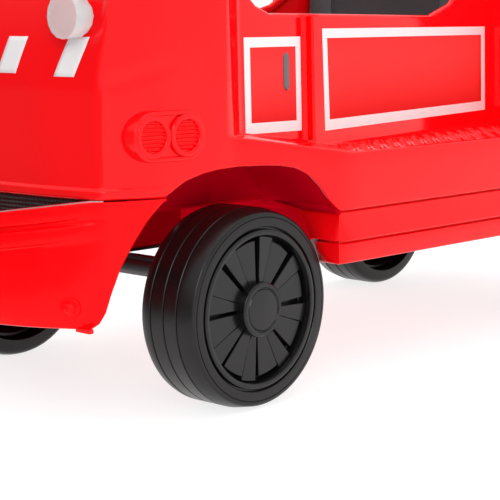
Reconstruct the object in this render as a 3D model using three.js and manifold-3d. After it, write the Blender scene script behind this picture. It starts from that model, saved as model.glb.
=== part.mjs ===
// A ride-in toy fire engine for one small child: a hollow red body on four hard plastic wheels, with
// steered front wheels, motor gearboxes on the rear axle, a lift-up seat over the battery and a ladder
// on the rear box.
// Millimetres. +Z is up, the front faces -Y, +X is the driver's left, and Z = 0 is the ground.
import * as THREE from "three";
import { mergeVertices } from "three/addons/utils/BufferGeometryUtils.js";
import Module from "manifold-3d";

const wasm = await Module();
wasm.setup();

// ---------------------------------------------------------------- driving dimensions
const GAP = 0.4; // air between neighbouring pieces
const SKIN = 4; // wall of the moulded body panels
const WHEEL_R = 102;
const WHEEL_OUT = 225; // outer face of a wheel
const WHEEL_W = 73;
const WHEEL_Z = 102;
const FRONT_Y = -332; // front wheel centre
const REAR_Y = 358; // rear wheel centre
const SKIRT_X = 245; // outer face of the running boards
const SKIRT_Z = 138; // underside of the running boards
const GROOVE_HIGH_Z = 194.5;
const GROOVE_LOW_Z = 160.6;
const STEP_Z = 254; // outer edge of the step
const WALL_FOOT_Z = 258; // where the side walls stand on the step
const CAB_BASE_Z = 222; // split line between cab and bumper
const CAB_REAR_Y = -358;
const BOX_FRONT_Y = 190;
const BOX_REAR_Y = 548;
const BOX_X = 228;
const BOX_TOP_Z = 470;
const FLOOR_Z = 198; // underside of the cab floor
const WELL_Z = 145; // underside of the footwell
const FLOOR_X = 133.5;
const LINER_X = 136; // inner wall of the wheel wells
const BUMPER_Z = 100;
const KINGPIN_X = 122;
const STEER_RATIO_ARM = 42; // length of a steering arm

// ---------------------------------------------------------------- helpers
function solidOf(geometry) {
  const g = geometry.index ? geometry.toNonIndexed() : geometry.clone();
  g.deleteAttribute("normal");
  g.deleteAttribute("uv");
  const merged = mergeVertices(g, 1e-3);
  return new wasm.Manifold(
    new wasm.Mesh({
      numProp: 3,
      vertProperties: new Float32Array(merged.attributes.position.array),
      triVerts: new Uint32Array(merged.index.array),
    }),
  );
}

function geometryOf(solid) {
  const m = solid.getMesh();
  const g = new THREE.BufferGeometry();
  g.setAttribute("position", new THREE.BufferAttribute(new Float32Array(m.vertProperties), 3));
  g.setIndex(new THREE.BufferAttribute(new Uint32Array(m.triVerts), 1));
  g.computeVertexNormals();
  return g;
}

const shapeOf = (points) => new THREE.Shape(points.map(([a, b]) => new THREE.Vector2(a, b)));
const flat = (points, depth) =>
  new THREE.ExtrudeGeometry(shapeOf(points), { depth, bevelEnabled: false, steps: 1 });

// Prisms: a drawn outline pushed along one axis.
const prismZ = (pointsXY, z0, z1) => solidOf(flat(pointsXY, z1 - z0).translate(0, 0, z0));
const prismX = (pointsYZ, x0, x1) => {
  const g = flat(pointsYZ, x1 - x0);
  g.applyMatrix4(new THREE.Matrix4().makeBasis(
    new THREE.Vector3(0, 1, 0), new THREE.Vector3(0, 0, 1), new THREE.Vector3(1, 0, 0)));
  return solidOf(g.translate(x0, 0, 0));
};
const prismY = (pointsZX, y0, y1) => {
  const g = flat(pointsZX, y1 - y0);
  g.applyMatrix4(new THREE.Matrix4().makeBasis(
    new THREE.Vector3(0, 0, 1), new THREE.Vector3(1, 0, 0), new THREE.Vector3(0, 1, 0)));
  return solidOf(g.translate(0, y0, 0));
};

const box = (x0, x1, y0, y1, z0, z1) =>
  solidOf(new THREE.BoxGeometry(x1 - x0, y1 - y0, z1 - z0)
    .translate((x0 + x1) / 2, (y0 + y1) / 2, (z0 + z1) / 2));

const cylinder = (axis, r, from, to, a, b, sides = 16) => {
  const g = new THREE.CylinderGeometry(r, r, to - from, sides);
  const mid = (from + to) / 2;
  if (axis === "X") g.rotateZ(Math.PI / 2).translate(mid, a, b);
  if (axis === "Y") g.translate(a, mid, b);
  if (axis === "Z") g.rotateX(Math.PI / 2).translate(a, b, mid);
  return solidOf(g);
};

// A turned piece on the X axis: profile points are [x, r], outer side first.
const turnedX = (profile, sides = 32) => {
  const g = new THREE.LatheGeometry(profile.map(([x, r]) => new THREE.Vector2(r, x)), sides);
  g.rotateZ(-Math.PI / 2);
  const s = solidOf(g);
  return s.volume() > 0 ? s : solidOf(flipped(g));
};

function flipped(geometry) {
  const g = geometry.index ? geometry.toNonIndexed() : geometry.clone();
  const p = g.attributes.position;
  for (let i = 0; i < p.count; i += 3) {
    const v = [p.getX(i + 1), p.getY(i + 1), p.getZ(i + 1)];
    p.setXYZ(i + 1, p.getX(i + 2), p.getY(i + 2), p.getZ(i + 2));
    p.setXYZ(i + 2, ...v);
  }
  return g;
}

// A skin through closed sections with the same number of corners, capped at both ends.
function loft(sections) {
  const n = sections[0].length;
  const corners = sections.flat();
  const faces = [];
  for (let s = 0; s + 1 < sections.length; s++)
    for (let i = 0; i < n; i++) {
      const a = s * n + i;
      const b = s * n + ((i + 1) % n);
      faces.push([a, b, b + n], [a, b + n, a + n]);
    }
  const last = (sections.length - 1) * n;
  const flatCap = capTriangles(sections[0]);
  for (const [a, b, c] of flatCap) faces.push([a, c, b], [last + a, last + b, last + c]);
  const g = new THREE.BufferGeometry();
  g.setAttribute("position", new THREE.Float32BufferAttribute(corners.flat(), 3));
  g.setIndex(faces.flat());
  const s = solidOf(g);
  return s.volume() > 0 ? s : solidOf(flipped(g));
}

// The two coordinates in which a section is drawn are the ones that change most over it.
function capTriangles(section) {
  const spread = [0, 1, 2].map((k) => {
    const v = section.map((p) => p[k]);
    return Math.max(...v) - Math.min(...v);
  });
  const fixed = spread.indexOf(Math.min(...spread));
  const [u, v] = [0, 1, 2].filter((k) => k !== fixed);
  const outline = section.map((p) => new THREE.Vector2(p[u], p[v]));
  const turned = THREE.ShapeUtils.isClockWise(outline);
  const order = outline.map((_, i) => (turned ? outline.length - 1 - i : i));
  return THREE.ShapeUtils.triangulateShape(order.map((i) => outline[i]), [])
    .map((t) => t.map((i) => order[i]))
    .map(([a, b, c]) => (turned ? [a, c, b] : [a, b, c]));
}

const mirrored = (points) => [...points, ...points.filter(([x]) => x > 0).map(([x, y]) => [-x, y]).reverse()];
const smooth = (points, count) =>
  new THREE.SplineCurve(points.map(([a, b]) => new THREE.Vector2(a, b)))
    .getSpacedPoints(count).map((p) => [p.x, p.y]);
const moved = (s, x, y, z) => s.translate([x, y, z]);
const flipX = (s) => s.mirror([1, 0, 0]);
const join = (...solids) => solids.reduce((a, b) => a.add(b));
const lerp = (a, b, t) => a + (b - a) * t;
const between = (table, y) => {
  const i = Math.max(1, table.findIndex(([at]) => at >= y));
  const [[y0, v0], [y1, v1]] = [table[i - 1], table[i]];
  return lerp(v0, v1, (y - y0) / (y1 - y0));
};

const engine = new THREE.Group();
const paints = {
  red: { color: 0xd0101a, roughness: 0.22, metalness: 0 },
  blackPlastic: { color: 0x1d1c1d, roughness: 0.38, metalness: 0 },
  blackMesh: { color: 0x141315, roughness: 0.5, metalness: 0 },
  seat: { color: 0x2b2b2e, roughness: 0.6, metalness: 0 },
  steel: { color: 0x2a2a2c, roughness: 0.35, metalness: 0.8 },
  zinc: { color: 0xb9bcc0, roughness: 0.3, metalness: 1 },
  silver: { color: 0xb5b8bb, roughness: 0.4, metalness: 0.2 },
  glass: { color: 0xdfe8ee, roughness: 0.05, metalness: 0 },
  blueLens: { color: 0x1446c8, roughness: 0.12, metalness: 0 },
  redLens: { color: 0xb00812, roughness: 0.12, metalness: 0 },
  clearLens: { color: 0xf2f2ee, roughness: 0.1, metalness: 0 },
  white: { color: 0xece8e8, roughness: 0.4, metalness: 0 },
};
const materials = Object.fromEntries(
  Object.entries(paints).map(([k, v]) => [k, new THREE.MeshStandardMaterial(v)]));

function add(name, solid, paint) {
  const mesh = new THREE.Mesh(geometryOf(solid), materials[paint]);
  mesh.name = name;
  engine.add(mesh);
}
function addPair(name, solid, paint) {
  add(name + "_left", solid, paint);
  add(name + "_right", flipX(solid), paint);
}

// ---------------------------------------------------------------- wheel arches
// Outlines in Y and Z. The front arch is longer ahead of the wheel, to leave room for steering.
const frontArch = [
  [-512, 90], [-512, 112], ...smooth([
    [-512, 112], [-498, 140], [-477, 175], [-450, 211], [-420, 233], [-382, 244], [-335, 246],
    [-292, 240], [-262, 226], [-242, 208], [-232, 194.5]], 16).slice(1),
  [-232, 90]];
const rearArch = [
  [REAR_Y - 122, 90], ...smooth([
    [REAR_Y - 122, 150], [REAR_Y - 120, 190], [REAR_Y - 98, 224], [REAR_Y - 55, 243], [REAR_Y, 247],
    [REAR_Y + 55, 243], [REAR_Y + 98, 224], [REAR_Y + 120, 190], [REAR_Y + 122, 150]], 16),
  [REAR_Y + 122, 90]];
const archCuts = join(
  prismX(frontArch, LINER_X + SKIN, SKIRT_X + 20),
  prismX(rearArch, LINER_X + SKIN, SKIRT_X + 20));

// ---------------------------------------------------------------- cab
// Plan of the cab front, centre to door. It bows forward and turns a tight corner.
const cabPlan = [
  [0, -525], [52, -523], [95, -520], [130, -514], [160, -507], [180, -499], [192, -488],
  [200, -470], [205, -448], [210, -405], [213, CAB_REAR_Y]];
const shrunk = (plan, t) => plan.map(([x, y]) => [Math.max(0, x - t), y + t]);
const closedPlan = (plan) => mirrored(plan);
const cabProfile = [
  [-600, CAB_BASE_Z], [CAB_REAR_Y, CAB_BASE_Z], [CAB_REAR_Y, 400], [-392, 440], [-420, 448],
  [-470, 446], [-500, 436], [-517, 418], [-525, 385], [-600, 380]];
const lowered = (profile, t) => profile.map(([y, z]) => [y, z > 300 ? z - t : z - 2 * t]);
const cabOuter = prismZ(closedPlan(cabPlan), CAB_BASE_Z, 460)
  .intersect(prismX(cabProfile, -300, 300));
const cabInner = prismZ(closedPlan(shrunk(cabPlan, SKIN)), CAB_BASE_Z - 10, 460)
  .intersect(prismX(lowered(cabProfile, SKIN), -300, 300));
const cabOpenBack = box(-206, 206, -420, CAB_REAR_Y + 5, 210, 430);
const cabLiner = join(box(LINER_X, LINER_X + SKIN, -480, CAB_REAR_Y, FLOOR_Z, 254),
  box(LINER_X, 206, -480, CAB_REAR_Y, 250, 254));
add("cab_shell", join(cabOuter.subtract(cabInner).subtract(cabOpenBack), cabLiner, flipX(cabLiner))
  .subtract(archCuts).subtract(flipX(archCuts))
  .subtract(box(-150, 150, -402, -300, 380, 470)), "red");

// Twin round louvred vents on each side of the cab.
const VENT_Y = -443;
const VENT_Z = 282;
const ventEnds = [VENT_Y - 24, VENT_Y + 24];
const onCabSide = (s, proud) => s
  .intersect(prismZ(closedPlan(shrunk(cabPlan, -proud)), 200, 400))
  .subtract(prismZ(closedPlan(shrunk(cabPlan, -GAP)), 200, 400));
const ventOutline = join(box(180, 225, ...ventEnds, VENT_Z - 24, VENT_Z + 24),
  ...ventEnds.map((y) => cylinder("X", 24, 180, 225, y, VENT_Z)));
const ventCups = join(...ventEnds.map((y) => cylinder("X", 15.5, 170, 235, y, VENT_Z)));
const ventLouvres = join(...[-10, -5, 0, 5, 10].map((dz) =>
  box(180, 225, VENT_Y - 42, VENT_Y + 42, VENT_Z + dz - 1, VENT_Z + dz + 1)));
addPair("side_vent", onCabSide(ventOutline.subtract(ventCups), 5).add(onCabSide(ventLouvres, 3)), "red");

// ---------------------------------------------------------------- front bumper
// The bumper bows forward, its two ribs rise to the corners and its underside is level.
const bumperPlan = (grow) => [
  [0, -562 - grow], [50, -558 - grow], [92, -548 - grow], [128, -531 - grow], [158, -514 - grow * 0.7],
  [180, -500 - grow * 0.3], [192, -488], [199, -470], [204, -448], [205, -430]];
const bumperOuter = join(
  prismZ(closedPlan(bumperPlan(0)), BUMPER_Z, CAB_BASE_Z - GAP),
  prismZ(closedPlan(bumperPlan(8)), 172, 187),
  prismZ(closedPlan(bumperPlan(6)), 190, 203));
const bumperTopCut = prismY([[198, 0], [206, 82], [215, 132], [223, 176], [260, 176], [260, -176],
  [223, -176], [215, -132], [206, -82]], -620, -470);
const bumperInner = prismZ(closedPlan(shrunk(bumperPlan(0), SKIN)), BUMPER_Z - 10, CAB_BASE_Z + 10);
add("front_bumper", bumperOuter.subtract(bumperTopCut).subtract(bumperInner)
  .subtract(archCuts).subtract(flipX(archCuts)), "red");

// Black mesh grille in the mouth between cab and bumper.
const grillePlan = [[0, -518], [60, -516], [110, -510], [150, -500], [172, -490], [172, -482], [0, -490]];
add("grille_mesh", prismZ(closedPlan(grillePlan), 188, CAB_BASE_Z + 20)
  .intersect(join(prismZ(closedPlan(shrunk(bumperPlan(0), SKIN + GAP)), 150, CAB_BASE_Z),
    prismZ(closedPlan(shrunk(cabPlan, SKIN + GAP)), 150, 260))), "blackMesh");

// ---------------------------------------------------------------- running boards: fender, step and skirt
const wallX = [[-600, 213], [CAB_REAR_Y, 213], [-331, 200], [-225, 185], [-217, 194],
  [BOX_FRONT_Y, 143], [600, 143]];
const ledgeZ = [[-600, 276], [CAB_REAR_Y, 276], [-212, STEP_Z], [600, STEP_Z]];
const boardX = [[-600, 213], [CAB_REAR_Y, 213], [-300, 229], [-232, 243], [-212, SKIRT_X], [470, SKIRT_X],
  [530, 238], [BOX_REAR_Y, 225], [600, 200]];
const boardSection = (y) => {
  const x = between(boardX, y);
  const top = between(ledgeZ, y);
  return [
    [LINER_X, y, top + 3], [x - 3, y, top + 1], [x, y, top - 3], [x, y, GROOVE_HIGH_Z],
    [x - 4, y, GROOVE_HIGH_Z - 1], [x - 1, y, GROOVE_LOW_Z], [x - 5, y, GROOVE_LOW_Z - 1],
    [x - 9, y, SKIRT_Z],
    [x - 13, y, SKIRT_Z], [x - 9, y, GROOVE_LOW_Z], [x - 5, y, GROOVE_HIGH_Z - 4], [x - 5, y, top - 6],
    [LINER_X + SKIN, y, top - 2], [LINER_X + SKIN, y, FLOOR_Z], [LINER_X, y, FLOOR_Z]];
};
const boardStations = [CAB_REAR_Y + GAP, -300, -232, -212, 0, BOX_FRONT_Y, REAR_Y, 470, 530, BOX_REAR_Y];
const frontSkirtTrim = box(150, 300, -520, -232, 60, GROOVE_HIGH_Z + 2);
addPair("running_board", loft(boardStations.map(boardSection))
  .subtract(archCuts).subtract(frontSkirtTrim), "red");

// Side walls: recessed door panel, then the seat side, tapering inward to the rear box.
const WALL_TOP = [[-600, 400], [CAB_REAR_Y, 400], [-300, 388], [40, 388], [120, 420],
  [BOX_FRONT_Y, 440], [600, 440]];
const wallSection = (y) => {
  const x = between(wallX, y);
  const foot = between(ledgeZ, y) + 3 + GAP;
  const top = between(WALL_TOP, y);
  return [[x, y, foot], [x - 2, y, top], [x - 12, y, top + 3], [x - 12, y, top - 2], [x - 6, y, top - 4],
    [x - 4, y, foot]];
};
const wallStations = [CAB_REAR_Y + GAP, -344, -331, -300, -225, -217, 40, 120, BOX_FRONT_Y - GAP];
addPair("side_wall", loft(wallStations.map(wallSection)), "red");

// Diamond tread plates let into the steps.
const treadSection = (y) => {
  const x0 = between(wallX, y) + 4;
  const z = between(ledgeZ, y) + 3.6;
  return [[x0, y, z], [236, y, z - 1.4], [236, y, z + 0.6], [x0, y, z + 2]];
};
addPair("step_tread", loft([-205, 0, BOX_FRONT_Y - 6].map(treadSection)), "red");

// ---------------------------------------------------------------- floor and footwell
const floorProfile = [
  [-478, FLOOR_Z], [-216, FLOOR_Z], [-201, 187], [-181, 182], [-155, WELL_Z], [20, WELL_Z], [40, FLOOR_Z],
  [BOX_REAR_Y - 8, FLOOR_Z]];
const floorSheet = prismX([...floorProfile, ...floorProfile.map(([y, z]) => [y, z + SKIN]).reverse()],
  -FLOOR_X, FLOOR_X);
const wellSide = (x0, x1) => prismX([[-214, FLOOR_Z + 1], [-201, 188], [-181, 183], [-155, WELL_Z + 1],
  [20, WELL_Z + 1], [40, FLOOR_Z + 1], [40, FLOOR_Z + SKIN], [-214, FLOOR_Z + SKIN]], x0, x1);
const steeringHole = cylinder("Z", 12, 150, 260, 0, -408);
add("floor_pan", join(floorSheet, wellSide(-FLOOR_X, SKIN - FLOOR_X), wellSide(FLOOR_X - SKIN, FLOOR_X))
  .subtract(steeringHole), "red");

// ---------------------------------------------------------------- rear box, its lid, bumper and lamps
const boxPlan = (t) => [
  [0, BOX_FRONT_Y + t], [BOX_X - 8 - t, BOX_FRONT_Y + t], [BOX_X - t, BOX_FRONT_Y + 8],
  [BOX_X - t, BOX_REAR_Y - 30], [BOX_X - 8 - t, BOX_REAR_Y - 10], [BOX_X - 28, BOX_REAR_Y - t],
  [0, BOX_REAR_Y - t]];
const boxShell = prismZ(closedPlan(boxPlan(0)), STEP_Z + 3 + GAP, BOX_TOP_Z)
  .subtract(prismZ(closedPlan(boxPlan(SKIN)), STEP_Z - 10, BOX_TOP_Z - SKIN))
  .add(box(-126, 126, BOX_REAR_Y - SKIN, BOX_REAR_Y, 146, STEP_Z + 20));
const TRUNK = { x: 138, y0: 306, z0: 284, z1: 442 };
const trunkTub = box(-TRUNK.x - SKIN, TRUNK.x + SKIN, TRUNK.y0 - SKIN, BOX_REAR_Y - 1,
  TRUNK.z0 - SKIN, TRUNK.z1 + SKIN);
const trunkHollow = box(-TRUNK.x, TRUNK.x, TRUNK.y0, BOX_REAR_Y + 5, TRUNK.z0, TRUNK.z1);
add("rear_box", boxShell.add(trunkTub).subtract(trunkHollow), "red");
add("rear_hatch", join(
  box(-TRUNK.x - 4, TRUNK.x + 4, BOX_REAR_Y + GAP, BOX_REAR_Y + 6, TRUNK.z0 - 4, TRUNK.z1 + 4),
  box(-26, 26, BOX_REAR_Y + 5, BOX_REAR_Y + 14, TRUNK.z1 - 16, TRUNK.z1 - 6)), "red");

const rearBumperPlan = [[0, 570], [190, 570], [222, 560], [228, 549], [0, 549]];
const rearBumperHollow = [[0, 566], [188, 566], [216, 557], [216, 540], [0, 540]];
add("rear_bumper", prismZ(closedPlan(rearBumperPlan), 150, 192)
  .subtract(prismZ(closedPlan(rearBumperHollow), 146, 188)), "blackPlastic");
addPair("tail_light", join(cylinder("Y", 19, BOX_REAR_Y + GAP, BOX_REAR_Y + 8, 172, 352),
  cylinder("Y", 19, BOX_REAR_Y + GAP, BOX_REAR_Y + 8, 172, 310),
  box(153, 191, BOX_REAR_Y + GAP, BOX_REAR_Y + 5, 310, 352)), "redLens");

// ---------------------------------------------------------------- seat and battery bay
const SEAT_TOP = 300;
add("seat_box", box(-126, 126, 44, BOX_FRONT_Y - 4, FLOOR_Z + SKIN + GAP, SEAT_TOP - 8)
  .subtract(box(-122, 122, 48, BOX_FRONT_Y - 8, FLOOR_Z - 5, SEAT_TOP + 5)), "red");
add("battery", join(box(-72, 72, 70, 140, FLOOR_Z + SKIN + GAP, 276), box(-50, -38, 98, 112, 275, 284),
  box(38, 50, 98, 112, 275, 284)), "blackPlastic");
const seatProfile = [
  [36, 296], [168, 293], [176, 300], [180, 450], [173, 474], [160, 478], [152, 466], [146, 350], [130, 318],
  [70, 312], [40, 316], [30, 308]];
const seatDish = prismX([[60, 308], [124, 314], [150, 350], [157, 462], [140, 480], [60, 480]], -88, 88);
add("seat", prismX(seatProfile, -125, 125).subtract(seatDish), "seat");

// ---------------------------------------------------------------- dashboard, windscreen and light bar
const TILT = -25; // lean of the steering column, degrees about X
const CRANK = 22.5; // radius of the bent lower end of the column
const COLUMN = [0, -427.3, 158]; // lower end of the column's straight part
const HUB = 343; // steering wheel hub, up the column
const onColumn = (s) => moved(s.rotate([TILT, 0, 0]), ...COLUMN);
const dashProfile = [
  [-398, 440], [-352, 436], [-338, 424], [-352, 340], [-366, 318], [-372, 318], [-358, 342],
  [-345, 422], [-354, 431], [-398, 435]];
add("dashboard", prismX(dashProfile, -148, 148)
  .add(box(-16, 16, -352, -320, 326, 350)).subtract(onColumn(cylinder("Z", 6, 0, HUB, 0, 0)))
  .subtract(cylinder("Y", 9, -365, -330, -90, 380)), "blackPlastic");

const SCREEN_TOP = 578;
const screenLean = 70;
const screenBar = (x0, x1, z0, z1) => {
  const y = (z) => -478 + ((z - 448) * screenLean) / (SCREEN_TOP - 448);
  return loft([[z0, y(z0)], [z1, y(z1)]].map(([z, yy]) => [
    [x0, yy, z], [x1, yy, z], [x1, yy + 16, z], [x0, yy + 16, z]]));
};
const frameZ0 = 449;
add("windscreen_frame", join(
  screenBar(-186, -168, frameZ0, SCREEN_TOP), screenBar(168, 186, frameZ0, SCREEN_TOP),
  screenBar(-186, 186, SCREEN_TOP - 16, SCREEN_TOP), screenBar(-186, 186, frameZ0, frameZ0 + 12)),
"blackPlastic");
const paneY = (z) => -478 + 6 + ((z - 448) * screenLean) / (SCREEN_TOP - 448);
const paneSection = (z) => [
  [-167.5, paneY(z), z], [167.5, paneY(z), z], [167.5, paneY(z) + 3, z], [-167.5, paneY(z) + 3, z]];
add("windscreen_pane", loft([frameZ0 + 12.5, SCREEN_TOP - 16.5].map(paneSection)), "glass");

const BAR_Y = -402;
add("light_bar_base", box(-150, 150, BAR_Y - 24, BAR_Y + 24, SCREEN_TOP + GAP, SCREEN_TOP + 14)
  .add(box(-16, 16, BAR_Y - 20, BAR_Y + 20, SCREEN_TOP + 10, SCREEN_TOP + 40)), "silver");
addPair("beacon", box(18, 146, BAR_Y - 21, BAR_Y + 21, SCREEN_TOP + 14 + GAP, SCREEN_TOP + 42), "blueLens");
addPair("headlight", cylinder("Y", 21, -524, -490, 150, 393)
  .subtract(prismZ(closedPlan(shrunk(cabPlan, -GAP)), 300, 460)), "clearLens");

addPair("mirror", join(box(186 + GAP, 212, -463, -455, 467, 475),
  box(206, 244, -468, -452, 452, 502)), "blackPlastic");

// ---------------------------------------------------------------- controls
const wheelRing = solidOf(new THREE.TorusGeometry(92, 9, 6, 20)).translate([0, 0, HUB]);
add("steering_wheel", onColumn(join(wheelRing, cylinder("Z", 30, HUB - 12, HUB + 4, 0, 0),
  cylinder("Z", 15, HUB - 40, HUB - 11, 0, 0), box(-88, 88, -9, 9, HUB - 6, HUB + 3),
  box(-9, 9, -88, 88, HUB - 6, HUB + 3))
  .subtract(cylinder("Z", 13, HUB - 9, HUB + 20, 0, 0))), "blackPlastic");
add("horn_button", onColumn(cylinder("Z", 12, HUB - 3, HUB + 9, 0, 0)), "redLens");
add("steering_shaft", onColumn(join(cylinder("Z", 5, -4, HUB - 40.4, 0, 0, 12),
  box(-5, 5, -CRANK - 3.4, 4, -4, 2), cylinder("Z", 2.4, -30, 0, 0, -CRANK, 12))), "zinc");
const PEDAL = [-185, 194.5]; // Y and Z of the pedal's pivot
add("accelerator_pedal", join(prismX([[-184, 196], [-226, 236], [-230, 232], [-188, 192]], 52, 104),
  cylinder("X", 5, 52, 104, ...PEDAL, 12)), "blackPlastic");
const LEVER = [72, -337.5, 372];
add("gear_lever", moved(join(cylinder("X", 8, -6, 6, 0, 0, 12),
  cylinder("Z", 4, 0, 34, 0, 0, 10).rotate([-70, 0, 0]),
  moved(solidOf(new THREE.SphereGeometry(8, 10, 6)), 0, 32, 11.6)), ...LEVER), "blackPlastic");
add("start_button", cylinder("Y", 8, -349, -334, -90, 380, 16), "redLens");

// ---------------------------------------------------------------- front axle and steering
const BEAM_Z0 = 104;
const BEAM_Z1 = 129;
add("front_axle_beam", join(
  box(-KINGPIN_X - 14, KINGPIN_X + 14, FRONT_Y - 12, FRONT_Y + 12, BEAM_Z0, BEAM_Z1),
  box(60, 70, FRONT_Y - 10, FRONT_Y + 10, BEAM_Z1 - 1, FLOOR_Z - GAP),
  box(-70, -60, FRONT_Y - 10, FRONT_Y + 10, BEAM_Z1 - 1, FLOOR_Z - GAP))
  .subtract(join(...[-1, 1].map((side) =>
    cylinder("Z", 6.5, BEAM_Z0 - 5, BEAM_Z1 + 5, side * KINGPIN_X, FRONT_Y)))), "steel");
const ARM_Y = FRONT_Y - STEER_RATIO_ARM;
const ARM_Z = 137;
const knuckle = join(
  cylinder("Z", 6, BEAM_Z0 - 8, ARM_Z + 3, KINGPIN_X, FRONT_Y, 12),
  cylinder("Z", 11, BEAM_Z1 + GAP, ARM_Z + 4, KINGPIN_X, FRONT_Y, 12),
  box(KINGPIN_X - 7, KINGPIN_X + 7, ARM_Y - 9, FRONT_Y, ARM_Z, ARM_Z + 4),
  cylinder("Z", 11, BEAM_Z0 - 12, BEAM_Z0 - GAP, KINGPIN_X, FRONT_Y, 12),
  cylinder("X", 6, KINGPIN_X, 214, FRONT_Y, WHEEL_Z, 12)
    .subtract(box(KINGPIN_X - 10, KINGPIN_X + 19.5, FRONT_Y - 20, FRONT_Y + 20, BEAM_Z0 - GAP, 200)));
const armEye = join( // a slot along the arm, because the tie rod slides while the arm swings
  cylinder("Z", 3.3, ARM_Z - 5, ARM_Z + 9, KINGPIN_X, ARM_Y, 12),
  cylinder("Z", 3.3, ARM_Z - 5, ARM_Z + 9, KINGPIN_X, ARM_Y - 2.6, 12));
addPair("steering_knuckle", knuckle.subtract(armEye), "steel");
const ROD_Z = 144.5; // underside of the flat tie rod
const CRANK_Y = -457.5; // where the bent end of the column meets the tie rod's tongue
const crankSlot = box(-3.4, 3.4, CRANK_Y - 5.5, CRANK_Y + 9.5, ROD_Z - 5, ROD_Z + 10);
add("tie_rod", join(box(-KINGPIN_X - 7, KINGPIN_X + 7, ARM_Y - 6, ARM_Y + 6, ROD_Z, ROD_Z + 4),
  box(-13, 13, CRANK_Y - 14, ARM_Y, ROD_Z, ROD_Z + 4).subtract(crankSlot),
  ...[-1, 1].map((side) => cylinder("Z", 2.4, ARM_Z - 3, ROD_Z + 2, side * KINGPIN_X, ARM_Y, 12))), "steel");

// ---------------------------------------------------------------- rear axle and drives
add("rear_axle", cylinder("X", 6, -214, 214, REAR_Y, WHEEL_Z, 20), "zinc");
const gearbox = join(
  prismX([[REAR_Y - 30, 84], [REAR_Y + 32, 84], [REAR_Y + 40, 100], [REAR_Y + 34, 150], [REAR_Y - 22, 150],
    [REAR_Y - 34, 120]], 96, 138),
  box(100, 134, REAR_Y - 12, REAR_Y + 12, 149, FLOOR_Z - GAP))
  .subtract(cylinder("X", 6.5, 60, 180, REAR_Y, WHEEL_Z, 24));
addPair("gearbox", gearbox, "blackPlastic");
addPair("motor", join(cylinder("X", 17, 40, 96 - GAP, REAR_Y + 8, 128, 24),
  cylinder("X", 5, 32, 41, REAR_Y + 8, 128, 12)), "zinc");

// ---------------------------------------------------------------- wheels
// Profiles run from the outer face inwards; x counts from the outer face, negative inboard.
const BORE = 6.6;
const tyreProfile = [
  [-36, 83], [0, 83], [0, 93], [-3, 98], [-9, WHEEL_R], [-63, WHEEL_R], [-WHEEL_W, 92], [-WHEEL_W, 83],
  [-36, 83]];
const rimProfile = [
  [-16, BORE], [-16, 73], [0, 75], [0, 82.4], [-56, 82.4], [-56, 77], [-20, 74], [-20, 17], [-69, 15],
  [-69, BORE], [-16, BORE]];
const capProfile = [
  [2, 0], [2, 20], [3, 22], [3, 26], [1, 27.5], [-15.6, 27.5], [-15.6, 22], [-4, 20], [-4, 0]];
const vane = prismX([[27.9, -4.5], [72.6, -8.5], [72.6, 8.5], [27.9, 4.5]], -16.5, -7);
const spin = (s, degrees) => s.rotate([degrees, 0, 0]);
const rim = join(turnedX(rimProfile, 24), ...Array.from({ length: 8 }, (_, i) => spin(vane, 45 * i)));
const wheelAt = (s, y) => moved(s, WHEEL_OUT, y, WHEEL_Z);
for (const [corner, y] of [["front", FRONT_Y], ["rear", REAR_Y]]) {
  addPair(`${corner}_tyre`, wheelAt(turnedX(tyreProfile), y), "blackPlastic");
  addPair(`${corner}_rim`, wheelAt(rim, y), "blackPlastic");
  addPair(`${corner}_hub_cap`, wheelAt(turnedX(capProfile, 20), y), "blackPlastic");
}

// ---------------------------------------------------------------- ladder
const LADDER_Z = 492;
const ladderRails = (x, y0, y1, z) => join(
  box(-x - 7, -x + 7, y0, y1, z - 8, z + 8), box(x - 7, x + 7, y0, y1, z - 8, z + 8));
const rungs = (x, ys, z, r) => join(...ys.map((y) => cylinder("X", r, -x, x, y, z, 10)));
const pivotY = 532;
add("ladder_mount", join(box(-96, 96, pivotY - 6, BOX_REAR_Y - 2, BOX_TOP_Z + GAP, BOX_TOP_Z + 6),
  box(-96, -82, pivotY - 8, pivotY + 8, BOX_TOP_Z + 5, LADDER_Z + 8),
  box(82, 96, pivotY - 8, pivotY + 8, BOX_TOP_Z + 5, LADDER_Z + 8))
  .subtract(cylinder("X", 5, -120, 120, pivotY, LADDER_Z, 16)), "silver");
add("ladder", join(ladderRails(60, 190, pivotY + 6, LADDER_Z),
  rungs(60, [210, 270, 330, 390, 450], LADDER_Z, 5),
  cylinder("X", 4.4, -94, 94, pivotY, LADDER_Z, 16)), "silver");
add("ladder_extension", join(ladderRails(43, 205, 470, LADDER_Z + 16.4),
  rungs(43, [225, 285, 345, 405, 455], LADDER_Z + 16.4, 4.5)), "silver");

export default engine;
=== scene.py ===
"""The looks of a ride-in toy fire engine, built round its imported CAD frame.

Drawn lengths are in millimetres and become metres when a mesh is made. The front faces -Y, +X is the
driver's left and Z = 0 is the ground.
"""
import math

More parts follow.
